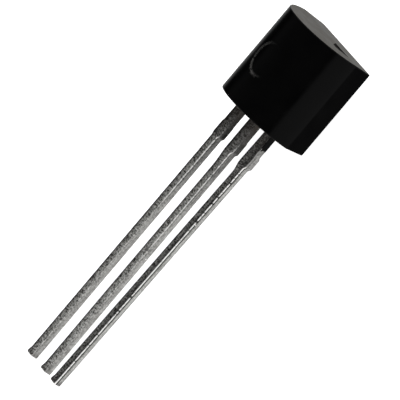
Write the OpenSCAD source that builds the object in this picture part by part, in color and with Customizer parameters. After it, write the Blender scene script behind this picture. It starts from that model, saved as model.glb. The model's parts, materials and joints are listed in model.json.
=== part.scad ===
// TO-92 transistor: an epoxy body moulded round three leads, a die and its bond wires.
// It lies on its flat. X runs along the row of leads, Y along the leads towards the
// body's top end, and Z up from the flat to the round back. Millimetres and degrees.

/* [Moulded body] */
// Radius of the round back
back_r = 2.36; // [2:0.01:2.8]
// Height of the round back's centre above the flat
back_centre_z = 1.06; // [0.9:0.01:1.2]
// Height of the mould's parting plane above the flat
parting_z = 1.23; // [1:0.01:1.45]
// Length of the body along its leads, at the parting plane
body_l = 4.71; // [4.2:0.01:5.6]
// Draft of the two sides between the parting plane and the flat
side_draft = 10; // [2:0.5:14]
// Draft of the two ends on the round half of the mould
back_draft = 1.4; // [0.4:0.1:4]
// Draft of the two ends on the flat half of the mould
front_draft = 2.75; // [1:0.25:8]
// Radius of the two long edges of the flat
flat_edge_r = 0.12; // [0.05:0.01:0.3]

/* [Mould marks] */
// Diameter of the ejector pin's mark in the middle of the round back
pin_mark_d = 1.62; // [1:0.02:2]
// Depth of the ejector pin's mark
pin_mark_depth = 0.05; // [0.02:0.01:0.1]
// Distance from the body's middle to the gate's break
gate_x = 1.06; // [0:0.02:1.2]
// Width of the gate's break along the parting plane
gate_w = 1.2; // [0.4:0.05:1.4]
// Width of the gate's break at its far side
gate_tip_w = 0.3; // [0.1:0.05:0.4]
// Reach of the gate's break into the round half of the mould
gate_reach = 0.55; // [0.2:0.05:0.7]
// Depth of the gate's break below the end face
gate_depth = 0.12; // [0.05:0.01:0.2]

/* [Leads] */
// Thickness of the lead frame
frame_t = 0.33; // [0.25:0.01:0.45]
// Distance between the middles of neighbouring leads
pitch = 1.27; // [1.05:0.01:1.53]
// Length of the leads outside the body
lead_l = 14.5; // [10:0.1:18]
// Width of the leads below the dam bar stubs
lead_w = 0.36; // [0.25:0.01:0.42]
// Width of the leads next to the body
shank_w = 0.44; // [0.42:0.01:0.55]
// Width across the dam bar stubs
stub_w = 0.56; // [0.54:0.01:0.75]
// Length of the dam bar stubs along the lead
stub_l = 0.72; // [0.4:0.01:1]
// Distance from the body to the dam bar stubs
stub_gap = 1.15; // [0.6:0.01:1.5]
// Length of the slope at each end of a dam bar stub
stub_slope = 0.09; // [0.04:0.01:0.15]
// Sideways lean of the emitter lead towards the collector lead
emitter_lean = 1.26; // [0:0.02:2]
// Distance from the body to the place where the emitter lead starts to lean
lean_gap = 0.1; // [0.05:0.05:0.5]

/* [Inside the body] */
// Width of the paddle that carries the die
paddle_w = 1.56; // [1:0.02:1.9]
// Length of the paddle
paddle_l = 2.0; // [1.2:0.05:2.4]
// Distance from the body's lead end to the paddle
paddle_y = 1.6; // [1.3:0.05:2]
// Length of the posts that take the bond wires
post_l = 1.3; // [0.8:0.05:1.6]
// Distance from the body's lead end to the posts
post_y = 1.05; // [0.6:0.05:1.5]
// Gap between the paddle and each post
post_gap = 0.2; // [0.1:0.02:0.3]
// Epoxy between a post and the side of the body
post_cover = 0.55; // [0.3:0.05:0.8]
// Length of the slope from a lead's shank out to its post or paddle
head_slope = 0.2; // [0.1:0.05:0.35]
// Side of the square die
die_w = 0.5; // [0.3:0.02:0.7]
// Thickness of the die
die_t = 0.2; // [0.1:0.01:0.3]
// Thickness of the die attach
attach_t = 0.03; // [0.02:0.01:0.05]
// Reach of the die attach past each side of the die
attach_rim = 0.06; // [0.02:0.01:0.1]
// Diameter of the bond wires
wire_d = 0.05; // [0.03:0.01:0.06]
// Height of a wire's arch above the die
loop_h = 0.36; // [0.25:0.01:0.5]
// Diameter of the ball bonds and of the wires' flattened feet
bond_d = 0.12; // [0.11:0.01:0.16]
// Height of the ball bonds and of the wires' flattened feet
bond_h = 0.03; // [0.02:0.01:0.04]

/* [Hidden] */
$fn = 96;
past = 1; // overshoot of every cutting solid

// Section of the body
back_z = back_centre_z + back_r;
parting_w = 2 * sqrt(pow(back_r, 2) - pow(parting_z - back_centre_z, 2));
flat_w = parting_w - 2 * parting_z * tan(side_draft);
edge_tangent = flat_edge_r / tan((90 + side_draft) / 2);

// Loss of length at each end of the body, at the flat and at the top of the back
flat_loss = parting_z * tan(front_draft);
back_loss = (back_z - parting_z) * tan(back_draft);

// Lead frame, with each lead's own middle at x = 0
bend_y = -lean_gap;
post_in = pitch - paddle_w / 2 - post_gap;
post_out = parting_w / 2 - post_cover - pitch;

// Die and bonds
die_y = paddle_y + head_slope + (paddle_l - head_slope) / 2;
die_face_z = parting_z - attach_t - die_t;
die_pad_x = die_w / 4;
post_bond_x = pitch + (post_out - post_in) / 2;
post_bond_y = post_y + post_l - 2 * bond_d - head_slope;
bond_drop = die_t + attach_t;

// Rest position: on the flat's lower edge and on the tips of the leads
rest_tilt = atan2(parting_z, lead_l + flat_loss);
tip_y = -(lead_l + flat_loss) * cos(rest_tilt) - (parting_z + frame_t) * sin(rest_tilt);
top_edge_y = (body_l - 2 * flat_loss) * cos(rest_tilt);
top_parting_y = (body_l - flat_loss) * cos(rest_tilt) - parting_z * sin(rest_tilt);
middle_y = (tip_y + max(top_edge_y, top_parting_y)) / 2;

// Lays a piece down, from the frame where the flat is at z = 0 and the lead end at y = 0
module at_rest() {
    translate([0, -middle_y, 0])
        rotate([rest_tilt, 0, 0])
            translate([0, -flat_loss, 0])
                children();
}

// Half of the flat side of the section, with its rounded edge
module front_half_section() {
    polygon([
        [0, 0],
        [flat_w / 2 - edge_tangent, 0],
        [flat_w / 2 + edge_tangent * sin(side_draft), edge_tangent * cos(side_draft)],
        [parting_w / 2, parting_z],
        [0, parting_z]
    ]);
    translate([flat_w / 2 - edge_tangent, flat_edge_r])
        circle(r = flat_edge_r);
}

module body_section() {
    intersection() {
        translate([0, back_centre_z])
            circle(r = back_r, $fn = 180);
        translate([-back_r - past, parting_z])
            square([2 * (back_r + past), back_r + past]);
    }
    front_half_section();
    mirror([1, 0])
        front_half_section();
}

// The body seen from the side, with its drafted ends
module body_profile() {
    polygon([
        [flat_loss, 0],
        [body_l - flat_loss, 0],
        [body_l, parting_z],
        [body_l - back_loss, back_z],
        [back_loss, back_z],
        [0, parting_z]
    ]);
}

// Shallow round pocket that follows the back
module pin_mark() {
    difference() {
        translate([0, body_l / 2, back_centre_z])
            cylinder(d = pin_mark_d, h = back_r + past);
        translate([0, -past, back_centre_z])
            rotate([-90, 0, 0])
                cylinder(r = back_r - pin_mark_depth, h = body_l + 2 * past, $fn = 180);
    }
}

// Pit in the top end where the mould's gate was broken off
module gate_break() {
    translate([gate_x, body_l + past, parting_z])
        rotate([90, 0, 0])
            linear_extrude(gate_depth + past)
                polygon([
                    [-gate_w / 2, 0],
                    [gate_w / 2, 0],
                    [gate_tip_w / 2, gate_reach],
                    [-gate_tip_w / 2, gate_reach]
                ]);
}

// A point of a lead's outline, swung sideways if it lies below the bend
function swung(p, lean) =
    p[1] >= bend_y ? p : [
        p[0] * cos(lean) + (p[1] - bend_y) * sin(lean),
        bend_y + (p[1] - bend_y) * cos(lean) - p[0] * sin(lean)
    ];

// One long side of a lead from its tip to its shank; side is 1 or -1
function lead_side(side) = [
    [side * lead_w / 2, -lead_l],
    [side * lead_w / 2, -stub_gap - stub_l],
    [side * stub_w / 2, -stub_gap - stub_l + stub_slope],
    [side * stub_w / 2, -stub_gap - stub_slope],
    [side * shank_w / 2, -stub_gap],
    [side * shank_w / 2, bend_y]
];

// A list in the opposite order
function turned(list) = [for (i = [len(list) - 1:-1:0]) list[i]];

// A stamped lead whose head reaches inward and outward from the shank inside the body
module lead(inward, outward, head_y, head_l, lean = 0) {
    head = [
        [shank_w / 2, head_y],
        [outward, head_y + head_slope],
        [outward, head_y + head_l],
        [-inward, head_y + head_l],
        [-inward, head_y + head_slope],
        [-shank_w / 2, head_y]
    ];
    outline = concat(lead_side(1), head, turned(lead_side(-1)));
    translate([0, 0, parting_z])
        linear_extrude(frame_t)
            polygon([for (p = outline) swung(p, lean)]);
}

// A lead with a wire post, on the +X side
module post_lead(lean) {
    translate([pitch, 0, 0])
        lead(post_in, post_out, post_y, post_l, lean);
}

module emitter_shape() {
    post_lead(emitter_lean);
}

module collector_shape() {
    lead(paddle_w / 2, paddle_w / 2, paddle_y, paddle_l);
}

module base_shape() {
    mirror([1, 0, 0])
        post_lead(0);
}

// A square slab against the lead frame side of the plane z = top
module slab(side, top, thickness) {
    translate([-side / 2, die_y - side / 2, top - thickness])
        cube([side, side, thickness]);
}

module attach_shape() {
    slab(die_w + 2 * attach_rim, parting_z, attach_t);
}

module die_shape() {
    slab(die_w, parting_z - attach_t, die_t);
}

// A ball bond, or the flattened foot at a wire's other end
module bond() {
    cylinder(d = bond_d, h = bond_h);
}

// A wire that arches over its span: +X points to its foot, and +Z away from the die's face.
// Its middle line is the circle through both bonds that peaks at loop_h.
module wire_loop(span) {
    drop_share = bond_drop / loop_h;
    square_sum = pow(span, 2) + pow(bond_drop, 2) + bond_drop * loop_h;
    peak_x = (sqrt(pow(span, 2) + drop_share * square_sum) - span) / drop_share;
    centre_z = (pow(loop_h, 2) - pow(peak_x, 2)) / (2 * loop_h);
    loop_r = loop_h - centre_z;
    bond();
    translate([span, 0, -bond_drop])
        bond();
    difference() {
        translate([peak_x, 0, centre_z])
            rotate([90, 0, 0])
                rotate_extrude()
                    translate([loop_r, 0])
                        circle(d = wire_d, $fn = 24);
        translate([peak_x - 2 * loop_r, -past, -bond_drop - 4 * loop_r])
            cube([4 * loop_r, 2 * past, 4 * loop_r]);
        translate([peak_x - 2 * loop_r, -past, -2 * loop_r])
            cube([2 * loop_r, 2 * past, 2 * loop_r]);
    }
}

// The wire from the die to the post on the +X side
module wire_shape() {
    dx = post_bond_x - die_pad_x;
    dy = post_bond_y - die_y;
    translate([die_pad_x, die_y, die_face_z])
        rotate([0, 0, atan2(dy, dx)])
            rotate([180, 0, 0])
                wire_loop(norm([dx, dy]));
}

// Everything that the epoxy flowed round
module moulded_in() {
    emitter_shape();
    collector_shape();
    base_shape();
    attach_shape();
    die_shape();
    wire_shape();
    mirror([1, 0, 0])
        wire_shape();
}

module moulded_body() {
    color("#1a1a1b")
        at_rest()
            difference() {
                intersection() {
                    translate([0, body_l, 0])
                        rotate([90, 0, 0])
                            linear_extrude(body_l)
                                body_section();
                    translate([-back_r - past, 0, 0])
                        rotate([90, 0, 90])
                            linear_extrude(2 * (back_r + past))
                                body_profile();
                }
                pin_mark();
                gate_break();
                moulded_in();
            }
}

module emitter_lead() {
    color("#9a9b98")
        at_rest()
            emitter_shape();
}

module collector_lead() {
    color("#9a9b98")
        at_rest()
            collector_shape();
}

module base_lead() {
    color("#9a9b98")
        at_rest()
            base_shape();
}

module die_attach() {
    color("#b9b9b4")
        at_rest()
            attach_shape();
}

module silicon_die() {
    color("#5a5f72")
        at_rest()
            die_shape();
}

module emitter_wire() {
    color("#d9a93c")
        at_rest()
            wire_shape();
}

module base_wire() {
    color("#d9a93c")
        at_rest()
            mirror([1, 0, 0])
                wire_shape();
}

moulded_body();
emitter_lead();
collector_lead();
base_lead();
die_attach();
silicon_die();
emitter_wire();
base_wire();
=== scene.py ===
import json
import math

import bmesh
import bpy
from mathutils import Matrix, Vector, noise


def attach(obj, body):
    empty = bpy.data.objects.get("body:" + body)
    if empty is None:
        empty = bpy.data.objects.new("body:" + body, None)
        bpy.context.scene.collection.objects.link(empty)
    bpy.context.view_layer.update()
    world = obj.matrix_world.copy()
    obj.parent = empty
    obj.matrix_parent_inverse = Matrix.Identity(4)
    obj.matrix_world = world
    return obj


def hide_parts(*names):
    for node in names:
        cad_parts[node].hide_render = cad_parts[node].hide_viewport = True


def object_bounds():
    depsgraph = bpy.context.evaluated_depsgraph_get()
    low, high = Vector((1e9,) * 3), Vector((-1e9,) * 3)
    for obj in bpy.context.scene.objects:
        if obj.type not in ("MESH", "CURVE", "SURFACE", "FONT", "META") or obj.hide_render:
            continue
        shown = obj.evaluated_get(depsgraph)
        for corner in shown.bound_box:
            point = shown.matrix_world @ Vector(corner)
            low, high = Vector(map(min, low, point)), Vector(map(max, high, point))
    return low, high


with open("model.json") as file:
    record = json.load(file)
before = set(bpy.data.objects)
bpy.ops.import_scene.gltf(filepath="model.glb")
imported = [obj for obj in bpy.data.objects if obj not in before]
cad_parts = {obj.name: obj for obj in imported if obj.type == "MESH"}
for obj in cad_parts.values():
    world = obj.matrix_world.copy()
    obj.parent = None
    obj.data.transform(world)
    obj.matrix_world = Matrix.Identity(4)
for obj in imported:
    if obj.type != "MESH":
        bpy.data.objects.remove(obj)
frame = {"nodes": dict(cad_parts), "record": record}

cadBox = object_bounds()
mm = 0.001


def readRestFrame():
    # the flat's own frame: its middle and its outward normal come with the part's record
    mounts = {m["name"]: m for m in frame["record"]["mounts"]}
    flat = mounts["flat"]
    tilt = math.atan2(flat["axis"][1], -flat["axis"][2])
    return Matrix.Translation(flat["pos_m"]) @ Matrix.Rotation(tilt, 4, "X")


def flatBox(node, toFlat):
    # lowest and highest corners of a CAD node, in mm, in the flat's own frame
    corners = [toFlat @ v.co / mm for v in frame["nodes"][node].data.vertices]
    low = Vector([min(c[i] for c in corners) for i in range(3)])
    high = Vector([max(c[i] for c in corners) for i in range(3)])
    return low, high


restFrame = readRestFrame()
toFlat = restFrame.inverted()
bodyLow, bodyHigh = flatBox("moulded_body", toFlat)
leadLow, leadHigh = flatBox("base_lead", toFlat)
endY = bodyLow.y            # the end where the leads come out, at the parting plane
topY = bodyHigh.y
partingZ = leadLow.z        # the leads' under faces lie on the parting plane
frameT = leadHigh.z - leadLow.z
leadTipY = leadLow.y
print("rest frame read, body", [round(v, 3) for v in bodyHigh - bodyLow])


def wobble(x, y, z, size):
    # smooth noise between -1 and 1 whose bumps are about size mm across
    return noise.noise(Vector((x, y, z)) / size)


def smooth(value, low, high):
    share = min(1.0, max(0.0, (value - low) / (high - low)))
    return share * share * (3 - 2 * share)


def between(pair, share):
    return pair[0] + (pair[1] - pair[0]) * share


def meshObject(name, points, faces):
    mesh = bpy.data.meshes.new(name)
    mesh.from_pydata([tuple(p) for p in points], [], faces)
    mesh.update()
    piece = bpy.data.objects.new(name, mesh)
    bpy.context.scene.collection.objects.link(piece)
    return piece


def tidyNormals(piece):
    bm = bmesh.new()
    bm.from_mesh(piece.data)
    bmesh.ops.recalc_face_normals(bm, faces=bm.faces)
    bm.to_mesh(piece.data)
    bm.free()


def loopSkin(rings, closedEnds=True):
    # quads between neighbouring rings of equal length, with a flat face on each end
    count = len(rings[0])
    points = [p for ring in rings for p in ring]
    faces = []
    for row in range(len(rings) - 1):
        for i in range(count):
            j = (i + 1) % count
            a = row * count
            faces.append((a + i, a + j, a + count + j, a + count + i))
    if closedEnds:
        last = (len(rings) - 1) * count
        faces.append(tuple(reversed(range(count))))
        faces.append(tuple(range(last, last + count)))
    return points, faces


def smoothShade(piece, sharpDegrees):
    mesh = piece.data
    mesh.polygons.foreach_set("use_smooth", [True] * len(mesh.polygons))
    mesh.set_sharp_from_angle(angle=math.radians(sharpDegrees))
    mesh.update()


def boolean(piece, tool, operation):
    # joins or cuts with another closed mesh, which is then thrown away
    step = piece.modifiers.new(operation, "BOOLEAN")
    step.operation = operation
    step.object = tool
    step.solver = "MANIFOLD"
    bpy.context.view_layer.objects.active = piece
    with bpy.context.temp_override(object=piece, active_object=piece):
        bpy.ops.object.modifier_apply(modifier=step.name)
    bpy.data.objects.remove(tool)


def dropSlivers(piece, gap):
    # merges points closer than gap that the cuts left, and removes all but the largest closed skin
    bm = bmesh.new()
    bm.from_mesh(piece.data)
    seen = set()
    skins = []
    for first in bm.verts:
        if first in seen:
            continue
        seen.add(first)
        skin = [first]
        for v in skin:                         # the list grows as neighbours are found
            for edge in v.link_edges:
                other = edge.other_vert(v)
                if other not in seen:
                    seen.add(other)
                    skin.append(other)
        skins.append(skin)
    skins.sort(key=len)
    for skin in skins[:-1]:
        bmesh.ops.delete(bm, geom=skin, context="VERTS")
    bmesh.ops.remove_doubles(bm, verts=bm.verts, dist=gap)
    bmesh.ops.dissolve_degenerate(bm, edges=bm.edges, dist=gap)
    wires = [edge for edge in bm.edges if edge.is_wire]
    bmesh.ops.delete(bm, geom=wires, context="EDGES")
    bm.to_mesh(piece.data)
    bm.free()


def placePiece(piece, node):
    piece.data.transform(restFrame @ Matrix.Scale(mm, 4))
    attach(piece, "root")
    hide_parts(node)


class Shades:
    # a material's node tree with short calls for the nodes that are used here
    def __init__(self, name):
        self.material = bpy.data.materials.new(name)
        self.material.use_nodes = True
        self.nodes = self.material.node_tree.nodes
        self.links = self.material.node_tree.links
        self.shader = self.nodes["Principled BSDF"]
        self.place = self.nodes.new("ShaderNodeTexCoord").outputs["Object"]

    def set(self, **values):
        names = {s.name.replace(" ", ""): s for s in self.shader.inputs}
        for key, value in values.items():
            names[key].default_value = value

    def link(self, source, target):
        self.links.new(source, target)

    def stretch(self, scale):
        node = self.nodes.new("ShaderNodeMapping")
        node.inputs["Scale"].default_value = scale
        self.link(self.place, node.inputs["Vector"])
        return node.outputs["Vector"]

    def noise(self, vector, scale, detail=4.0, roughness=0.55):
        node = self.nodes.new("ShaderNodeTexNoise")
        node.inputs["Scale"].default_value = scale
        node.inputs["Detail"].default_value = detail
        node.inputs["Roughness"].default_value = roughness
        self.link(vector, node.inputs["Vector"])
        return node.outputs["Fac"]

    def spots(self, vector, scale):
        node = self.nodes.new("ShaderNodeTexVoronoi")
        node.inputs["Scale"].default_value = scale
        self.link(vector, node.inputs["Vector"])
        return node.outputs["Distance"]

    def ramp(self, source, stops):
        node = self.nodes.new("ShaderNodeValToRGB")
        bar = node.color_ramp.elements
        while len(bar) < len(stops):
            bar.new(0.5)
        for mark, (at, colour) in zip(bar, stops):
            mark.position = at
            mark.color = (*colour, 1)
        self.link(source, node.inputs["Fac"])
        return node.outputs["Color"]

    def spread(self, source, low, high, outLow=0.0, outHigh=1.0):
        node = self.nodes.new("ShaderNodeMapRange")
        node.interpolation_type = "SMOOTHSTEP"
        for key, value in (("From Min", low), ("From Max", high),
                           ("To Min", outLow), ("To Max", outHigh)):
            node.inputs[key].default_value = value
        self.link(source, node.inputs["Value"])
        return node.outputs["Result"]

    def combine(self, operation, a, b):
        node = self.nodes.new("ShaderNodeMath")
        node.operation = operation
        for socket, value in zip(node.inputs, (a, b)):
            if isinstance(value, (int, float)):
                socket.default_value = value
            else:
                self.link(value, socket)
        return node.outputs["Value"]

    def mix(self, factor, a, b, blend="MIX"):
        node = self.nodes.new("ShaderNodeMix")
        node.data_type = "RGBA"
        node.blend_type = blend
        ins = [s for s in node.inputs if s.enabled]
        for socket, value in zip(ins, (factor, a, b)):
            if isinstance(value, (int, float)):
                socket.default_value = value
            elif isinstance(value, tuple):
                socket.default_value = (*value, 1)
            else:
                self.link(value, socket)
        return [s for s in node.outputs if s.enabled][0]

    def mark(self, name):
        node = self.nodes.new("ShaderNodeAttribute")
        node.attribute_name = name
        return node.outputs["Fac"]

    def bump(self, height, distance, strength, below=None):
        node = self.nodes.new("ShaderNodeBump")
        node.inputs["Distance"].default_value = distance
        node.inputs["Strength"].default_value = strength
        self.link(height, node.inputs["Height"])
        if below is not None:
            self.link(below, node.inputs["Normal"])
        return node.outputs["Normal"]


bodyLook = {
    "backR": 2.36,            # the round back and the height of its centre
    "backCentreZ": 1.06,
    "sideDraft": math.radians(10),
    "backDraft": math.radians(1.4),
    "frontDraft": math.radians(2.75),
    "flatEdgeR": 0.12,
    "endEdgeR": 0.045,        # softened edge round both ends
    "ledge": 0.012,           # the flat half of the mould sits this much inside the other
    "ledgeWander": 0.006,
    "ledgeHeight": 0.004,
    "arcStep": math.radians(1.25),
    "sideRows": 9,            # steps down a drafted side, round the flat's edge and over half of the flat
    "edgeRows": 6,
    "flatRows": 16,
    "rowStep": 0.11,
    "mergeGap": 0.0003,       # points that the cuts leave closer than this are merged
}


def bodySection(look):
    # closed outline in x and z, with an inward normal and a share of the ledge for each point
    centre = look["backCentreZ"]
    radius = look["backR"]
    endAngle = math.acos((partingZ - centre) / radius)
    steps = math.ceil(2 * endAngle / look["arcStep"])
    outline = []
    for i in range(steps + 1):
        turn = endAngle - 2 * endAngle * i / steps
        at = (radius * math.sin(turn), centre + radius * math.cos(turn))
        outline.append((*at, -math.sin(turn), -math.cos(turn), 0.0))
    half = radius * math.sin(endAngle)
    draft = look["sideDraft"]
    edgeR = look["flatEdgeR"]
    flatHalf = half - partingZ * math.tan(draft)
    edge = edgeR / math.tan((math.pi / 2 + draft) / 2)
    cornerX = flatHalf - edge
    sideTop = partingZ - look["ledgeHeight"]
    left = []
    for i in range(look["sideRows"] + 1):          # drafted side, from the parting plane down
        share = i / look["sideRows"]
        z = sideTop - (sideTop - edge * math.cos(draft)) * share
        x = half - (partingZ - z) * math.tan(draft)
        left.append((-x, z, math.cos(draft), math.sin(draft), 1.0 - share))
    for i in range(1, look["edgeRows"]):           # rounded edge of the flat
        turn = (math.pi / 2 + draft) * (1 - i / look["edgeRows"])
        swing = math.pi + math.pi / 2 - turn
        at = (-cornerX + edgeR * math.cos(swing), edgeR * (1 + math.sin(swing)))
        left.append((*at, -math.cos(swing), -math.sin(swing), 0.0))
    for i in range(look["flatRows"] + 1):          # half of the flat
        left.append((-cornerX * (1 - i / look["flatRows"]), 0.0, 0.0, 1.0, 0.0))
    outline += left
    outline += [(-x, z, -nx, nz, ledge) for x, z, nx, nz, ledge in reversed(left[:-1])]
    return outline


def endLoss(z, look):
    # how far the drafted ends lean in at a height
    if z > partingZ:
        return (z - partingZ) * math.tan(look["backDraft"])
    return (partingZ - z) * math.tan(look["frontDraft"])


def bodyRings(look):
    # (inset, gap from the end) for each ring round an end, and the shares of the length in between
    edge = look["endEdgeR"]
    rim = [(2.2 * edge, 0.0), (1.3 * edge, 0.0)]
    for i in range(5):
        turn = math.pi / 2 * i / 4
        rim.append((edge * (1 - math.sin(turn)), edge * (1 - math.cos(turn))))
    rim.append((0.0, 1.8 * edge))
    rows = math.ceil((topY - endY) / look["rowStep"])
    middle = [i / rows for i in range(2, rows - 1)]
    return rim, middle


def makeBody(look):
    outline = bodySection(look)
    rim, middle = bodyRings(look)

    def ring(inset, endGap, share, fromTop):
        points = []
        for x, z, nx, nz, ledge in outline:
            px = x + nx * inset
            pz = z + nz * inset
            loss = endLoss(pz, look)
            if share is None:
                y = topY - loss - endGap if fromTop else endY + loss + endGap
            else:
                y = endY + loss + (topY - endY - 2 * loss) * share
            if ledge:                              # step at the parting line, a little uneven
                step = look["ledge"] + look["ledgeWander"] * wobble(x, y, 3.0, 0.35)
                px += nx * step * ledge
            points.append((px, y, pz))
        return points

    rings = [ring(inset, gap, None, False) for inset, gap in rim]
    rings += [ring(0, 0, share, False) for share in middle]
    rings += [ring(inset, gap, None, True) for inset, gap in reversed(rim)]
    points, faces = loopSkin(rings, closedEnds=False)
    count = len(outline)
    half = next(i for i, p in enumerate(outline) if p[4] > 0)
    for start, flip in ((0, True), ((len(rings) - 1) * count, False)):
        back = [start + i for i in range(half)]    # round half of the end, then the flat half
        front = [start + i for i in range(half - 1, count)] + [start]
        for face in (back, front):
            faces.append(tuple(reversed(face)) if flip else tuple(face))
    piece = meshObject("epoxy_body", points, faces)
    tidyNormals(piece)
    return piece


pinMarkLook = {
    "radius": 0.815,
    "depth": 0.05,
    "lip": 0.008,             # rounded lip, inside the pocket's edge
    "sides": 144,
    "floorRings": 12,
    "floorCentre": 0.03,      # radius of the flat middle of its floor
    "floorWobble": 0.0025,
    "wornFrom": math.radians(25),   # the edge gets a painted highlight on the side away from here
}


def makePinMarkTool(mark, look):
    # a puck whose floor follows the round back; it leaves a shallow pocket
    centreY = (endY + topY) / 2
    radius = mark["radius"]
    depth = mark["depth"]
    turns = [2 * math.pi * i / mark["sides"] for i in range(mark["sides"])]
    profile = [(mark["floorCentre"], -depth)]
    for i in range(1, mark["floorRings"]):
        profile.append((radius * 0.97 * i / mark["floorRings"], -depth))
    profile += [
        (radius - 0.012, -depth),
        (radius - 0.006, -depth + 0.003),
        (radius - 0.002, -0.008),
        (radius, -0.002),
        (radius + mark["lip"], 0.006),
    ]
    rings = []
    for reach, rise in profile:
        ring = []
        for turn in turns:
            x = reach * math.cos(turn)
            y = centreY + reach * math.sin(turn)
            height = rise
            if rise == -depth:
                height += mark["floorWobble"] * wobble(x, y, 7.0, 0.16)
            ring.append((x, y, look["backCentreZ"] + math.sqrt((look["backR"] + height) ** 2 - x * x)))
        rings.append(ring)
    reach = radius + mark["lip"]
    lidZ = look["backCentreZ"] + look["backR"] + 0.4
    rings.append([(reach * math.cos(turn), centreY + reach * math.sin(turn), lidZ) for turn in turns])
    points, faces = loopSkin(rings)
    tool = meshObject("pin_mark_tool", points, faces)
    tidyNormals(tool)
    return tool


def markPaintedSheen(piece, mark):
    # the pocket's edge gets a painted highlight on one side, which the material reads from this attribute
    centreY = (endY + topY) / 2
    values = []
    for v in piece.data.vertices:
        reach = math.hypot(v.co.x, v.co.y - centreY)
        near = 1 - smooth(abs(reach - mark["radius"] + 0.004), 0.012, 0.03)
        onBack = near if v.co.z > bodyHigh.z - 0.3 else 0.0
        turn = math.atan2(v.co.y - centreY, v.co.x)
        away = 0.5 - 0.5 * math.cos(turn - mark["wornFrom"])
        values.append(onBack * smooth(away, 0.35, 0.9))
    worn = piece.data.attributes.new("worn", "FLOAT", "POINT")
    worn.data.foreach_set("value", values)


gateLook = {
    "x": 1.06,
    "rise": 0.01,             # from the parting plane to its lower edge
    "width": 1.2,             # along the parting plane
    "tipWidth": 0.3,
    "reach": 0.5,
    "depth": 0.11,
    "leastDepth": 0.02,
    "raggedSide": 0.05,
    "raggedTip": 0.035,
    "cells": 26,
}


def makeGateTool(gate):
    # a wedge with a torn floor, where the feed of epoxy was broken off
    n = gate["cells"]
    floor = []
    lid = []
    for row in range(n + 1):
        up = row / n
        half = between((gate["width"], gate["tipWidth"]), up) / 2
        for col in range(n + 1):
            across = 2 * col / n - 1
            x = gate["x"] + half * across
            z = partingZ + gate["rise"] + gate["reach"] * up
            x += gate["raggedSide"] * wobble(x, 1.0, z, 0.13) * abs(across) ** 3
            z += gate["raggedTip"] * wobble(x, 4.0, z, 0.12) * up ** 3
            rim = min(1.0, 7 * min(up + 0.08, 1 - up, (1 - abs(across)) * half / gate["reach"] + 0.03))
            torn = wobble(x, 2.0, z, 0.22) + 0.6 * wobble(x, 5.0, z, 0.09)
            fall = gate["depth"] * rim * (0.62 - 0.3 * across + 0.28 * torn)
            floor.append((x, topY - max(gate["leastDepth"], fall), z))
            lid.append((x, topY + 0.3, z))
    side = n + 1
    faces = []
    for row in range(n):
        for col in range(n):
            a = row * side + col
            b = a + len(floor)
            faces.append((a, a + 1, a + side + 1, a + side))
            faces.append((b, b + side, b + side + 1, b + 1))
    border = list(range(side))
    border += [row * side + n for row in range(1, side)]
    border += [n * side + col for col in range(n - 1, -1, -1)]
    border += [row * side for row in range(n - 1, 0, -1)]
    for i, a in enumerate(border):
        b = border[(i + 1) % len(border)]
        faces.append((a, b, b + len(floor), a + len(floor)))
    tool = meshObject("gate_tool", floor + lid, faces)
    tidyNormals(tool)
    return tool


flashLook = {
    "reach": 0.22,            # from the emitter lead's middle to the thin film on its outer side
    "length": 0.74,
    "thickness": 0.02,
    "ragged": 0.12,
    "root": 0.06,             # how far it goes back into the body
    "levels": 12,
    "rows": 30,
}


def makeFlash(flash, middleX):
    # closed film of epoxy against the side of the lead, torn off at its far end
    sideX = middleX + flash["reach"]
    leadTop = partingZ + frameT
    fullLength = flash["root"] + flash["length"] + flash["ragged"]
    rings = []
    for row in range(flash["rows"] + 1):
        away = fullLength * row / flash["rows"] - flash["root"]
        y = endY - away
        ring = [(sideX - 0.03, y, partingZ + 0.004), (sideX - 0.03, y, leadTop - 0.004)]
        for level in range(flash["levels"] + 1):
            z = partingZ + frameT * (0.985 - 0.975 * level / flash["levels"])
            torn = flash["length"] + flash["ragged"] * wobble(9.0, 2.0, z, 0.11) + 0.12 * (leadTop - z)
            left = min(1.0, max(-1.0, (torn - away) / 0.05))
            edge = 0.4 if level in (0, flash["levels"]) else 1.0
            thick = flash["thickness"] * left * edge * (1 + 0.25 * wobble(3.0, away, z, 0.12))
            ring.append((sideX + max(-0.012, thick), y, z))
        rings.append(ring)
    points, faces = loopSkin(rings)
    film = meshObject("flash_tool", points, faces)
    tidyNormals(film)
    return film


collarLook = {
    "width": 0.05,            # low skirt of epoxy round each lead where it comes out
    "rise": 0.03,
    "overlap": 0.01,          # how far it reaches into the lead's sides
    "sides": 48,
    # its outline: share of the width, share of the rise
    "steps": [(1.0, 0.08), (1.0, 0.0), (0.55, -0.22), (0.22, -0.6), (0.06, -1.0), (-0.5, -1.0)],
}


def makeCollar(collar, lead):
    # meniscus of epoxy round a lead: wide on the body's end and thin against the lead
    left, right = lead["shank"]
    middleX = lead["side"] * leadLook["pitch"] + (right - left) / 2
    middleZ = partingZ + frameT / 2
    halfWidth = (left + right) / 2 - collar["overlap"]
    around = []
    for i in range(collar["sides"]):               # a rectangle with round corners
        turn = 2 * math.pi * i / collar["sides"]
        c = math.cos(turn)
        d = math.sin(turn)
        corner = (abs(c) ** 8 + abs(d) ** 8) ** (-1 / 8)
        around.append((c * corner, d * corner))
    rings = []
    for out, rise in collar["steps"]:
        ring = []
        for c, d in around:
            swell = 0.65 + 0.5 * wobble(lead["seed"] + c, d, 1.0, 0.6)
            off = collar["width"] * out * (swell if out > 0 else 1.0)
            if rise > 0:
                y = endY + 0.05
            elif rise == 0:
                y = endY + 0.004
            else:
                y = endY + rise * collar["rise"] * swell
            ring.append((middleX + c * (halfWidth + off), y, middleZ + d * (frameT / 2 + off)))
        rings.append(ring)
    points, faces = loopSkin(rings)
    skirt = meshObject("collar_tool", points, faces)
    tidyNormals(skirt)
    return skirt


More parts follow.
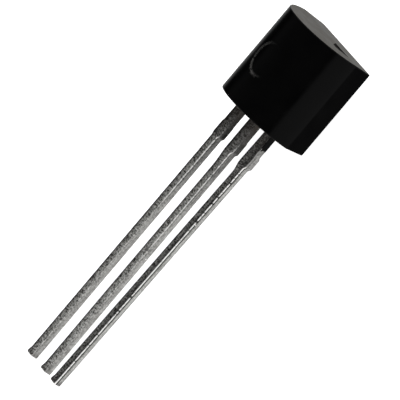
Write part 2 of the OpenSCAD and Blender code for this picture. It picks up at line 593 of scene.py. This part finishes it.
leadLook = {
    "pitch": 1.27,
    "bend": -0.1,             # the lean starts this far from the body
    "stubGap": 1.15,
    "stubLength": 0.72,
    "stubSlope": 0.09,
    "headSlope": 0.2,
    "step": 0.032,            # spacing of the rings along the lead
    "roll": 0.016,            # rolled edge that the stamping left: across, then down
    "rollDrop": 0.055,
    "wander": 0.003,          # how far edges and the top stray from straight
    "chew": 0.0035,           # roughness of the sheared sides
    "nickDepth": 0.012,
    "squash": 0.035,          # the shear pushed the tip wider and its top up
    "squashRise": 0.012,
    "squashLength": 0.32,
    "wear": 0.02,             # rounding of the tip's edges
    "wearLength": 0.05,
}

# top, flank, shade, across and groove set painted light and shade, which multiply the tin's colour
leads = {
    "emitter_lead": {
        "side": 1,
        "lean": math.radians(1.26),      # towards the middle lead
        "seed": 11.0,
        "tip": (0.209, 0.193),           # reach to the -X and the +X side, past the stub
        "stub": (0.34, 0.268),           # the same at the stub
        "shank": (0.335, 0.233),         # and between the stub and the body
        "taper": 0.5,                    # length over which the stub runs out on the -X side
        "stubFlare": 0.055,              # how far the stub's broken side leans out
        "flare": 0.0,                    # burr that spreads the lower edge on the +X side
        "top": (0.51, 0.50),             # light of the top, next to the stub and far from it
        "flank": (0.90, 1.0),            # the same for the sheared sides
        "shade": (0.83, 0.67),           # share of it left between stub and body, on top and flank
        "stain": (0.6, 0.0),             # brown staining near the body, partly painted shade, on top and flank
        "across": (1.45, 1.2, 0.62),     # how the top's light changes from its -X to its +X edge
        "clean": 0.9,                    # how much of the flank's finish starts right under the edge
        "shine": 1.8,                    # painted highlight along the +X edge
        "stubShine": 0.06,               # share of it left at the stub
        "shineEnd": -20.0,               # where it dies away
        "nicks": 1.0,
        "groove": 0.10,                  # light left in the groove under that edge
        "grooveEnd": 2.2,                # how far down it reaches, in edge heights
        "grooveFade": 0.0,               # how far it closes towards the tip
    },
    "collector_lead": {
        "side": 0,
        "lean": 0.0,
        "seed": 27.0,
        "tip": (0.193, 0.200),
        "stub": (0.29, 0.297),
        "shank": (0.295, 0.27),
        "taper": 0.95,
        "stubFlare": 0.010,
        "flare": 0.036,
        "top": (0.80, 1.22),
        "flank": (0.36, 0.86),
        "shade": (0.60, 0.42),
        "stain": (0.8, 0.9),
        "across": (0.28, 1.15, 1.3),
        "clean": 0.3,
        "shine": 0.85,
        "stubShine": 0.45,
        "shineEnd": -7.0,
        "nicks": 0.5,
        "groove": 0.33,
        "grooveEnd": 1.75,
        "grooveFade": 0.6,
    },
    "base_lead": {
        "side": -1,
        "lean": math.radians(0.08),
        "seed": 43.0,
        "tip": (0.193, 0.203),
        "stub": (0.245, 0.293),
        "shank": (0.208, 0.28),
        "taper": 0.12,
        "stubFlare": 0.010,
        "flare": 0.036,
        "top": (0.73, 1.07),
        "flank": (0.27, 0.76),
        "shade": (0.52, 0.20),
        "stain": (0.8, 0.45),
        "across": (0.25, 1.15, 1.3),
        "clean": 0.3,
        "shine": 0.8,
        "stubShine": 0.2,
        "shineEnd": -5.0,
        "nicks": 0.5,
        "groove": 0.22,
        "grooveEnd": 1.75,
        "grooveFade": 0.6,
    },
}


def reachAt(stops, place):
    # value at a place, with soft corners between the stops
    for (place0, a), (place1, b) in zip(stops, stops[1:]):
        if place0 <= place <= place1:
            return a + (b - a) * smooth(place, place0, place1)
    return stops[0][1] if place < stops[0][0] else stops[-1][1]


def headReach(node):
    # reach of the head inside the body to the -X and +X side, from the CAD node's own corners
    middle = leads[node]["side"] * leadLook["pitch"]
    corners = [toFlat @ v.co / mm for v in frame["nodes"][node].data.vertices]
    head = [c.x for c in corners if c.y > endY + 1.0]
    return middle - min(head), max(head) - middle


def halfWidths(along, node, look):
    # reach to the -X and +X side at a distance along the lead, 0 where it leaves the body
    lead = leads[node]
    stubNear = -look["stubGap"]
    stubFar = stubNear - look["stubLength"]
    soft = look["stubSlope"]
    headStart = heads[node]["start"]
    taperEnd = (stubFar - lead["taper"], stubFar - soft)
    sides = []
    for i in range(2):
        sides.append(reachAt([
            (taperEnd[i], lead["tip"][i]),
            (stubFar + soft, lead["stub"][i]),
            (stubNear - soft, lead["stub"][i]),
            (stubNear + soft, lead["shank"][i]),
            (headStart, lead["shank"][i]),
            (headStart + look["headSlope"], heads[node]["reach"][i]),
        ], along))
    return sides


heads = {
    # where each head starts inside the body, its length and its reach to both sides
    "emitter_lead": {"start": 1.05, "length": 1.3, "reach": headReach("emitter_lead")},
    "collector_lead": {"start": 1.6, "length": 2.0, "reach": headReach("collector_lead")},
    "base_lead": {"start": 1.05, "length": 1.3, "reach": headReach("base_lead")},
}
for node, head in heads.items():
    print(node, "head reaches", [round(r, 3) for r in head["reach"]])


def leadStations(node, look):
    # distances along the lead for its rings, from the tip to the end of the head
    tip = leadTipY - endY
    stubNear = -look["stubGap"]
    stubFar = stubNear - look["stubLength"]
    head = heads[node]
    marks = [stubFar, stubFar + look["stubSlope"], stubNear - look["stubSlope"], stubNear, 0.0]
    count = round(-tip / look["step"])
    stations = [tip * (1 - i / count) for i in range(count + 1)]
    stations = [s for s in stations if all(abs(s - m) > 0.4 * look["step"] for m in marks)] + marks
    end = head["start"] + head["length"]
    stations += [0.06, 0.3, head["start"], head["start"] + look["headSlope"], end - 0.3, end]
    return sorted(set(round(s, 5) for s in stations))


def sideProfile(look, lead):
    # one long side of the section, from the top face to the under face:
    # inset, drop, share of the painted highlight, share of the flank's finish, share of its painted light
    # and shade
    roll = look["roll"]
    drop = look["rollDrop"]
    groove = lead["groove"]
    grooveEnd = drop * lead["grooveEnd"]
    return [
        (roll + 0.030, 0.0, 0.0, 0.0, 1.0),
        (roll + 0.006, 0.0005, 0.3, 0.0, 0.9),
        (roll, 0.004, 1.0, 0.3, 1.0),
        (roll * 0.55, drop * 0.42, 1.0, 1.0, 1.0),
        (roll * 0.16, drop * 0.92, 1.0, 1.0, 1.0),
        (0.001, drop * 1.06, 0.4, 1.0, 0.8),
        (0.014, drop * 1.4, 0.0, 1.0, groove),     # groove under the rolled edge, painted in shade
        (0.012, grooveEnd, 0.0, 1.0, groove),
        (0.002, grooveEnd + drop * 0.55, 0.0, 1.0, 0.85),
        (0.000, frameT * 0.62, 0.0, 1.0, 1.0),
        (0.001, frameT * 0.84, 0.0, 1.0, 1.06),
        (0.003, frameT * 0.97, 0.0, 1.0, 1.0),
        (0.010, frameT, 0.0, 1.0, 0.8),
    ]


def leadState(lead, look, along, tip):
    # how far the tip is worn round at one distance along the lead, and its painted light and shade,
    # painted highlight and staining there
    seed = lead["seed"]
    stubNear = -look["stubGap"]
    stubFar = stubNear - look["stubLength"]
    outside = smooth(-along, 0.0, 0.3)
    squash = 1 - smooth(along, tip + 0.1, tip + look["squashLength"])
    nearBody = smooth(along, stubFar - 0.12, stubFar + 0.15)
    far = smooth(-along, 2.0, 6.5)
    nearStainAndShade = smooth(along, -1.7, -0.2)
    tones = []
    for face, shade in zip(("top", "flank"), lead["shade"]):
        tones.append(between(lead[face], far) * between((1.0, shade), nearBody))
    gleam = lead["shine"] * (1 - 0.85 * smooth(lead["shineEnd"] - along, -0.5, 1.5))
    gleam *= between((1.0, lead["stubShine"]), nearBody)
    gleam *= 1 - smooth(along, stubFar, stubFar + 0.8)
    groove = 0.25 + 0.75 * min(1.0, gleam)
    if lead["grooveFade"]:                         # it comes and goes, and closes towards the tip
        groove *= smooth(wobble(seed, along, 8.0, 0.9), -0.75, -0.2)
        groove *= 1 - lead["grooveFade"] * smooth(-along, 4.5, 7.0)
    nick = smooth(wobble(seed, along, 3.0, 0.13), 0.34, 0.46) * smooth(-along, 1.9, 2.4)
    dip = look["wander"] * (wobble(seed, along, 5.0, 0.11) - 0.8)
    topStainAndShade = max(lead["stain"][0] * nearStainAndShade, 0.5 * squash)
    flankStainAndShade = max(lead["stain"][1] * nearStainAndShade, 0.55 * squash)
    return {
        "outside": outside,
        "squash": squash,
        "worn": look["wear"] * (1 - smooth(along, tip, tip + look["wearLength"])),
        "dip": dip * outside + look["squashRise"] * squash,
        "stub": smooth(along, stubFar, stubFar + 0.1) * (1 - smooth(along, stubNear - 0.1, stubNear)),
        "gleam": gleam if along < 0 else 0.0,
        "groove": groove,
        "nick": lead["nicks"] * nick,
        "tones": tones,
        "stains": (topStainAndShade, flankStainAndShade),
    }


def topLight(lead, share):
    # how the top's light changes from the -X edge, at -0.5, to the +X edge
    return reachAt(list(zip((-0.4, -0.05, 0.3), lead["across"])), share)


def sidePoints(lead, look, along, sign, reach, state):
    # one side of the section from the top down: x, z, painted highlight, painted light and shade,
    # staining with painted shade, and flank for each point
    points = []
    for inset, drop, paintedShineShare, flank, light in sideProfile(look, lead):
        onRoll = drop < look["rollDrop"]
        z = partingZ + frameT - drop
        if onRoll:
            z += state["dip"] - state["worn"]
        if sign > 0 and paintedShineShare:                     # nicks in the edge that carries the painted highlight
            inset += look["nickDepth"] * state["nick"]
        x = reach - inset - state["worn"]
        if not onRoll:
            chewed = 0.5 + wobble(lead["seed"] + sign, along, drop * 3, 0.07)
            x -= look["chew"] * chewed * state["outside"]
        if sign > 0:
            burr = lead["flare"] * smooth(drop, frameT * 0.45, frameT)
            burr += lead["stubFlare"] * state["stub"] * smooth(drop, look["rollDrop"], frameT)
            x += burr * state["outside"]
        if drop < frameT * 0.6:                    # the top's mottling runs over the upper flank
            flank *= between((lead["clean"], 1.0), drop / (frameT * 0.6))
        light = 1 - (1 - light) * state["groove"]
        if drop < 0.001:
            light *= topLight(lead, sign * (1 - inset / reach) / 2)
        if sign < 0:                               # this side's rolled edge gets little painted highlight and is painted in shade
            paintedShineShare *= 0.3
            light *= 0.3 if onRoll else 1.0
        else:
            # the nicks break the painted highlight and are painted in shade
            paintedShineShare *= 1 - state["nick"]
            light *= 1 - 0.8 * state["nick"] * (drop < look["rollDrop"] * 2)
        tone = light * between(state["tones"], flank)
        points.append((sign * x, z, paintedShineShare * state["gleam"], tone, between(state["stains"], flank), flank))
    return points


def leadSection(lead, look, along, left, right, state):
    # the whole section, round from the +X side's top edge
    seed = lead["seed"]
    centre = (right - left) / 2
    span = right + left
    tone = state["tones"][0]
    stain = state["stains"][0]
    top = []
    under = []
    for share in (-0.22, 0.0, 0.22):
        ripple = 0.002 * state["outside"] * wobble(seed, along, share * 7, 0.09)
        z = partingZ + frameT + state["dip"] - state["worn"] + ripple
        top.append((centre + span * share, z, 0.0, tone * topLight(lead, share), stain, 0.0))
        under.append((centre - span * share, partingZ, 0.0, tone, stain, 0.0))
    rightSide = sidePoints(lead, look, along, 1, right, state)
    leftSide = sidePoints(lead, look, along, -1, left, state)
    return rightSide + under + leftSide[::-1] + top


def makeLead(node, look):
    lead = leads[node]
    middle = lead["side"] * look["pitch"]
    stations = leadStations(node, look)
    leanCos = math.cos(lead["lean"])
    leanSin = math.sin(lead["lean"])
    rings = []
    marks = {"shine": [], "tone": [], "stain": [], "flank": []}
    for along in stations:
        state = leadState(lead, look, along, stations[0])
        stray = look["wander"] * state["outside"]
        left, right = halfWidths(along, node, look)
        left += stray * (wobble(lead["seed"], along, 0.0, 0.5) - 0.5) + look["squash"] * state["squash"]
        right += stray * (wobble(lead["seed"] + 9, along, 0.0, 0.5) - 0.5)
        ring = []
        for x, z, *values in leadSection(lead, look, along, left, right, state):
            y = along
            if y < look["bend"]:                   # the lean, in the plane of the lead frame
                below = y - look["bend"]
                y = look["bend"] + below * leanCos - x * leanSin
                x = x * leanCos + below * leanSin
            ring.append((middle + x, endY + y, z))
            for mark, value in zip(marks.values(), values):
                mark.append(value)
        rings.append(ring)
    points, faces = loopSkin(rings)
    piece = meshObject(node.replace("_lead", "_pin"), points, faces)
    for name, values in marks.items():
        mark = piece.data.attributes.new(name, "FLOAT", "POINT")
        mark.data.foreach_set("value", values)
    tidyNormals(piece)
    smoothShade(piece, 38)
    return piece


epoxyLook = {
    "dark": (0.0003, 0.0003, 0.0004),
    "pale": (0.0009, 0.0009, 0.0009),
    # pale colour of the painted highlight on the pin mark's edge
    "worn": (0.060, 0.058, 0.056),
    "roughness": (0.17, 0.23),
}


def epoxyFinish(look):
    # the polished mould's skin, nearly black, with a painted highlight on one side of the pin mark's edge
    s = Shades("smooth black epoxy")
    cloud = s.noise(s.place, 900.0, 3.0, 0.5)
    grain = s.noise(s.place, 32000.0, 3.0, 0.6)
    colour = s.ramp(cloud, [(0.3, look["dark"]), (0.75, look["pale"])])
    # painted highlight on one side of the pin mark's edge, broken by noise
    worn = s.combine("MULTIPLY", s.mark("worn"), s.spread(s.noise(s.place, 9000.0), 0.3, 0.55))
    s.link(s.mix(worn, colour, look["worn"]), s.shader.inputs["Base Color"])
    s.link(s.spread(cloud, 0.25, 0.75, *look["roughness"]), s.shader.inputs["Roughness"])
    soft = s.bump(s.noise(s.place, 2600.0, 2.0, 0.5), 0.000004, 0.25)
    s.link(s.bump(grain, 0.0000012, 0.5, soft), s.shader.inputs["Normal"])
    s.set(SpecularIORLevel=0.062, IOR=1.5)
    return s.material


# painted light: the ends' colour is much lighter than the sides'
endLook = {
    "dark": (0.0165, 0.0150, 0.0116),
    "pale": (0.033, 0.030, 0.0232),
    "roughness": (0.42, 0.55),
}


def endFinish(look):
    # both ends are ground duller than the polished sides of the mould, and their colour is painted
    # lighter than the sides', as lit
    s = Shades("dull epoxy end with painted light")
    cloud = s.noise(s.place, 1400.0, 4.0, 0.6)
    grain = s.noise(s.place, 30000.0, 3.0, 0.6)
    s.link(s.ramp(cloud, [(0.3, look["dark"]), (0.75, look["pale"])]), s.shader.inputs["Base Color"])
    s.link(s.spread(cloud, 0.25, 0.75, *look["roughness"]), s.shader.inputs["Roughness"])
    s.link(s.bump(grain, 0.0000018, 0.5), s.shader.inputs["Normal"])
    s.set(SpecularIORLevel=0.3, IOR=1.5)
    return s.material


tinLook = {
    "dull": (0.040, 0.038, 0.035),
    "bright": (0.84, 0.83, 0.80),
    "drawn": (0.27, 0.265, 0.252),      # the sheared sides are smoother, with lines along them
    "drawnBright": (0.68, 0.675, 0.655),
    # colour of the painted highlight and the painted glints
    "polished": (1.0, 0.99, 0.97),
    # dark brown for the staining and the dents, also carrying painted shade near the body
    "stain": (0.040, 0.033, 0.028),
    "roughness": (0.28, 0.42),
}


def tinFinish(look):
    # mottled on the top, drawn along the sides, brown staining and painted shade near the body, darker at
    # the tip, painted highlight along one edge
    s = Shades("dull tin plate")
    streaks = s.noise(s.stretch((1.0, 2.6, 1.0)), 5200.0, 4.0, 0.7)
    blotches = s.noise(s.place, 12000.0, 3.0, 0.7)
    cloud = s.noise(s.place, 1700.0, 3.0, 0.5)
    lines = s.noise(s.stretch((1.0, 0.07, 1.0)), 15000.0, 3.0, 0.6)
    pits = s.spots(s.stretch((1.0, 1.5, 1.0)), 9500.0)
    # painted glints: small spots that take the highlight's colour
    specks = s.spread(s.spots(s.place, 1500.0), 0.055, 0.035)
    mottled = s.combine("ADD", s.combine("MULTIPLY", streaks, 0.5), s.combine("MULTIPLY", blotches, 0.5))
    drawn = s.combine("ADD", s.combine("MULTIPLY", lines, 0.45), s.combine("MULTIPLY", blotches, 0.55))
    top = s.ramp(mottled, [(0.43, look["dull"]), (0.60, look["bright"])])
    side = s.ramp(drawn, [(0.40, look["drawn"]), (0.61, look["drawnBright"])])
    colour = s.mix(s.mark("flank"), top, side)
    # painted light and shade of each face multiplies the colour
    colour = s.mix(1.0, colour, s.mark("tone"), "MULTIPLY")
    # brown staining near the body, partly painted shade from the body, and darker towards the tip
    stainAndShadeShare = s.combine("MULTIPLY", s.mark("stain"), s.spread(cloud, 0.3, 0.6, 0.7, 1.0))
    colour = s.mix(stainAndShadeShare, colour, look["stain"])
    beads = s.spread(s.noise(s.place, 9500.0, 3.0, 0.7), 0.38, 0.47)
    dents = s.spread(s.spots(s.place, 2500.0), 0.12, 0.07, 0.0, 0.8)
    dents = s.combine("MULTIPLY", dents, s.spread(s.mark("flank"), 0.0, 1.0, 1.0, 0.3))
    colour = s.mix(dents, colour, look["stain"])
    # painted highlight along the +X edge, broken into beads, with painted glints
    worn = s.combine("MAXIMUM", s.combine("MULTIPLY", s.mark("shine"), beads), specks)
    colour = s.mix(worn, colour, look["polished"])
    s.link(colour, s.shader.inputs["Base Color"])
    rough = s.spread(mottled, 0.35, 0.65, look["roughness"][1], look["roughness"][0])
    s.link(rough, s.shader.inputs["Roughness"])
    pitted = s.bump(pits, 0.000004, 0.4)
    relief = s.combine("MULTIPLY", mottled, s.spread(s.mark("flank"), 0.0, 1.0, 1.0, 0.35))
    s.link(s.bump(relief, 0.00003, 1.0, pitted), s.shader.inputs["Normal"])
    s.set(Metallic=1.0)
    return s.material


tornLook = {
    "dark": (0.0065, 0.0062, 0.0056),
    "pale": (0.018, 0.017, 0.0150),
    "roughness": (0.6, 0.8),
}


def tornFinish(look):
    # the broken feed left a dull, grainy floor, painted darker than the ends as shade in the pit
    s = Shades("torn epoxy")
    grain = s.noise(s.place, 14000.0, 5.0, 0.65)
    s.link(s.ramp(grain, [(0.35, look["dark"]), (0.7, look["pale"])]), s.shader.inputs["Base Color"])
    s.link(s.spread(grain, 0.3, 0.7, *look["roughness"]), s.shader.inputs["Roughness"])
    s.link(s.bump(grain, 0.000012, 0.6), s.shader.inputs["Normal"])
    s.set(SpecularIORLevel=0.15, IOR=1.5)
    return s.material


def grainyFinish(look):
    # a plain grainy finish for the parts inside the body
    s = Shades(look["name"])
    grain = s.noise(s.place, look["scale"], 4.0, 0.6)
    s.link(s.ramp(grain, [(0.3, look["dark"]), (0.7, look["pale"])]), s.shader.inputs["Base Color"])
    s.link(s.spread(grain, 0.3, 0.7, *look["roughness"]), s.shader.inputs["Roughness"])
    s.link(s.bump(grain, 0.000003, 0.4), s.shader.inputs["Normal"])
    s.set(Metallic=look["metallic"])
    return s.material


innerLooks = [
    {
        "nodes": ["die_attach"], "name": "silver filled epoxy",
        "dark": (0.33, 0.33, 0.32), "pale": (0.62, 0.62, 0.6),
        "scale": 30000.0, "roughness": (0.45, 0.7), "metallic": 0.8,
    },
    {
        "nodes": ["silicon_die"], "name": "polished silicon",
        "dark": (0.09, 0.1, 0.15), "pale": (0.15, 0.16, 0.22),
        "scale": 9000.0, "roughness": (0.12, 0.25), "metallic": 0.6,
    },
    {
        "nodes": ["emitter_wire", "base_wire"], "name": "gold wire",
        "dark": (0.78, 0.53, 0.17), "pale": (0.9, 0.66, 0.27),
        "scale": 40000.0, "roughness": (0.2, 0.32), "metallic": 1.0,
    },
]


def finishBody(piece, gate):
    # 0 is the moulded skin, 1 the two ends and 2 the torn gate
    piece.data.materials.clear()
    for material in (epoxyFinish(epoxyLook), endFinish(endLook), tornFinish(tornLook)):
        piece.data.materials.append(material)
    gateTop = partingZ + gate["rise"] + gate["reach"]
    for face in piece.data.polygons:
        x, y, z = face.center
        onEnd = abs(face.normal.y) > 0.97 and min(topY - y, y - endY) < 0.08
        besideGate = abs(x - gate["x"]) < gate["width"] / 2 + 0.1 and partingZ - 0.04 < z < gateTop + 0.13
        inGate = besideGate and topY - 0.3 < y < topY - endLoss(z, bodyLook) - 0.004
        face.material_index = 2 if inGate else int(onEnd)


body = makeBody(bodyLook)
boolean(body, makePinMarkTool(pinMarkLook, bodyLook), "DIFFERENCE")
boolean(body, makeGateTool(gateLook), "DIFFERENCE")
for lead in leads.values():
    boolean(body, makeCollar(collarLook, lead), "UNION")
boolean(body, makeFlash(flashLook, leadLook["pitch"]), "UNION")
dropSlivers(body, bodyLook["mergeGap"])
smoothShade(body, 24)
markPaintedSheen(body, pinMarkLook)
finishBody(body, gateLook)
placePiece(body, "moulded_body")
print("body built,", len(body.data.polygons), "faces")

tin = tinFinish(tinLook)
for node in leads:
    pin = makeLead(node, leadLook)
    pin.data.materials.append(tin)
    placePiece(pin, node)
    print(node, "built,", len(pin.data.polygons), "faces")

for look in innerLooks:
    material = grainyFinish(look)
    for node in look["nodes"]:
        for socket in frame["nodes"][node].material_slots:
            socket.material = material
print("inner parts finished")


stageLook = {
    "radius": 0.9,
    "cove": 0.3,              # the floor turns up over this radius into a wall
    "wallTop": 1.4,
    "steps": 8,
    "sides": 64,
    "white": 0.8,
    "glow": 0.9,
}


def makeStage(look):
    # a round floor that turns up into a wall, so every view ends on plain white
    steps = look["steps"]
    profile = [(look["radius"] * i / steps, 0.0) for i in range(1, steps + 1)]
    for i in range(1, steps + 1):
        turn = math.pi / 2 * i / steps
        reach = look["radius"] + look["cove"] * math.sin(turn)
        profile.append((reach, look["cove"] * (1 - math.cos(turn))))
    profile.append((look["radius"] + look["cove"], look["wallTop"]))
    turns = [2 * math.pi * i / look["sides"] for i in range(look["sides"])]
    rings = [[(reach * math.cos(turn), reach * math.sin(turn), height) for turn in turns]
             for reach, height in profile]
    points, faces = loopSkin(rings, closedEnds=False)
    faces.append(tuple(range(look["sides"])))
    floor = meshObject("floor", points, faces)
    tidyNormals(floor)
    smoothShade(floor, 60)
    s = Shades("white paper")
    white = look["white"]
    s.set(BaseColor=(white, white, white, 1), Roughness=0.9, SpecularIORLevel=0.0)
    s.set(EmissionColor=(1, 1, 1, 1), EmissionStrength=look["glow"])
    floor.data.materials.append(s.material)
    floor.visible_glossy = False
    floor.visible_diffuse = False
    floor.visible_shadow = False


worldLook = {
    "dim": 0.010,
    # patches of sky: how bright each is, and between which directions it fades in along each axis
    "patches": [
        {"light": 1.0, "fades": [("X", 0.1, 0.4), ("Z", 0.305, 0.27), ("Z", -0.95, -0.72)]},  # right side
        {"light": 0.22, "fades": [("Z", 0.2, 0.6)]},                           # overhead
        {"light": 0.30, "fades": [("Y", 0.02, 0.3)]},                          # top end
        {"light": 0.42, "fades": [("X", -0.1, -0.5), ("Z", -0.05, -0.35)]},    # low on the left
        {"light": 0.45, "fades": [("Y", -0.38, -0.7)]},                        # lead end
        # two pairs of high windows, at the lead end and at the top end
        {"light": 2.2, "fades": [("Y", -0.45, -0.7), ("X", 0.1, 0.35), ("Z", 0.3, 0.5)]},
        {"light": 2.2, "fades": [("Y", -0.45, -0.7), ("X", -0.1, -0.35), ("Z", 0.3, 0.5)]},
        {"light": 1.2, "fades": [("Y", 0.4, 0.7), ("X", 0.1, 0.35), ("Z", 0.1, 0.4)]},
        {"light": 1.2, "fades": [("Y", 0.4, 0.7), ("X", -0.1, -0.35), ("Z", 0.1, 0.4)]},
    ],
}


def makeWorld(look):
    world = bpy.data.worlds.new("studio")
    bpy.context.scene.world = world
    world.use_nodes = True
    nodes = world.node_tree.nodes
    links = world.node_tree.links
    split = nodes.new("ShaderNodeSeparateXYZ")
    links.new(nodes.new("ShaderNodeTexCoord").outputs["Generated"], split.inputs["Vector"])

    def fadeIn(axis, low, high):
        node = nodes.new("ShaderNodeMapRange")
        node.interpolation_type = "SMOOTHSTEP"
        node.inputs["From Min"].default_value = low
        node.inputs["From Max"].default_value = high
        links.new(split.outputs[axis], node.inputs["Value"])
        return node.outputs["Result"]

    def combine(operation, a, b):
        node = nodes.new("ShaderNodeMath")
        node.operation = operation
        for socket, value in zip(node.inputs, (a, b)):
            if isinstance(value, float):
                socket.default_value = value
            else:
                links.new(value, socket)
        return node.outputs["Value"]

    total = look["dim"]
    for patch in look["patches"]:
        light = patch["light"]
        for fade in patch["fades"]:
            light = combine("MULTIPLY", fadeIn(*fade), light)
        total = combine("ADD", light, total)
    links.new(total, nodes["Background"].inputs["Strength"])
    nodes["Background"].inputs["Color"].default_value = (1, 1, 1, 1)


endLamp = {
    "from": (-0.25, 0.95, 0.16),    # the direction that its light comes from
    "away": 0.12,                   # distance and size in metres
    "size": 0.06,
    "watts": 0.14,
}


def makeLamp(name, lamp):
    data = bpy.data.lights.new(name, "AREA")
    data.shape = "DISK"
    data.size = lamp["size"]
    data.energy = lamp["watts"]
    thing = bpy.data.objects.new(name, data)
    bpy.context.scene.collection.objects.link(thing)
    aim = (Vector(cadBox[0]) + Vector(cadBox[1])) / 2
    way = Vector(lamp["from"]).normalized()
    thing.location = aim + way * lamp["away"]
    thing.rotation_euler = way.to_track_quat("Z", "Y").to_euler()
    thing.visible_camera = False
    thing.visible_glossy = False


cameraLook = {
    "side": math.radians(45.7),       # turned from straight above towards the emitter lead's side
    "end": math.radians(9.0),         # and towards the top end
    "roll": math.radians(40.25),
    "aim": (0.488, -4.307, 1.4012),   # from the body's lead end, in the flat's frame
    "field": 17.275,                  # width of the view in mm
    "lens": 900.0,
}


def makeCamera(look):
    data = bpy.data.cameras.new("camera")
    data.lens = look["lens"]
    data.sensor_width = 36.0
    data.clip_start = 0.01
    data.clip_end = 10.0
    camera = bpy.data.objects.new("camera", data)
    bpy.context.scene.collection.objects.link(camera)
    side = look["side"]
    end = look["end"]
    right = Vector((math.cos(side), 0, -math.sin(side)))
    up = Vector((-math.sin(end) * math.sin(side), math.cos(end), -math.sin(end) * math.cos(side)))
    back = right.cross(up)
    turned = Matrix((
        right * math.cos(look["roll"]) + up * math.sin(look["roll"]),
        up * math.cos(look["roll"]) - right * math.sin(look["roll"]),
        back,
    )).transposed().to_4x4()
    x, y, z = look["aim"]
    aim = restFrame @ (Vector((x, endY + y, z)) * mm)
    away = look["field"] * mm / data.sensor_width * data.lens
    turned = restFrame.to_3x3().to_4x4() @ turned
    camera.matrix_world = Matrix.Translation(aim + turned.col[2].xyz * away) @ turned
    bpy.context.scene.camera = camera


makeStage(stageLook)
makeWorld(worldLook)
makeLamp("end_lamp", endLamp)
makeCamera(cameraLook)
bpy.context.scene.view_settings.view_transform = "Standard"
print("floor, light and camera set")
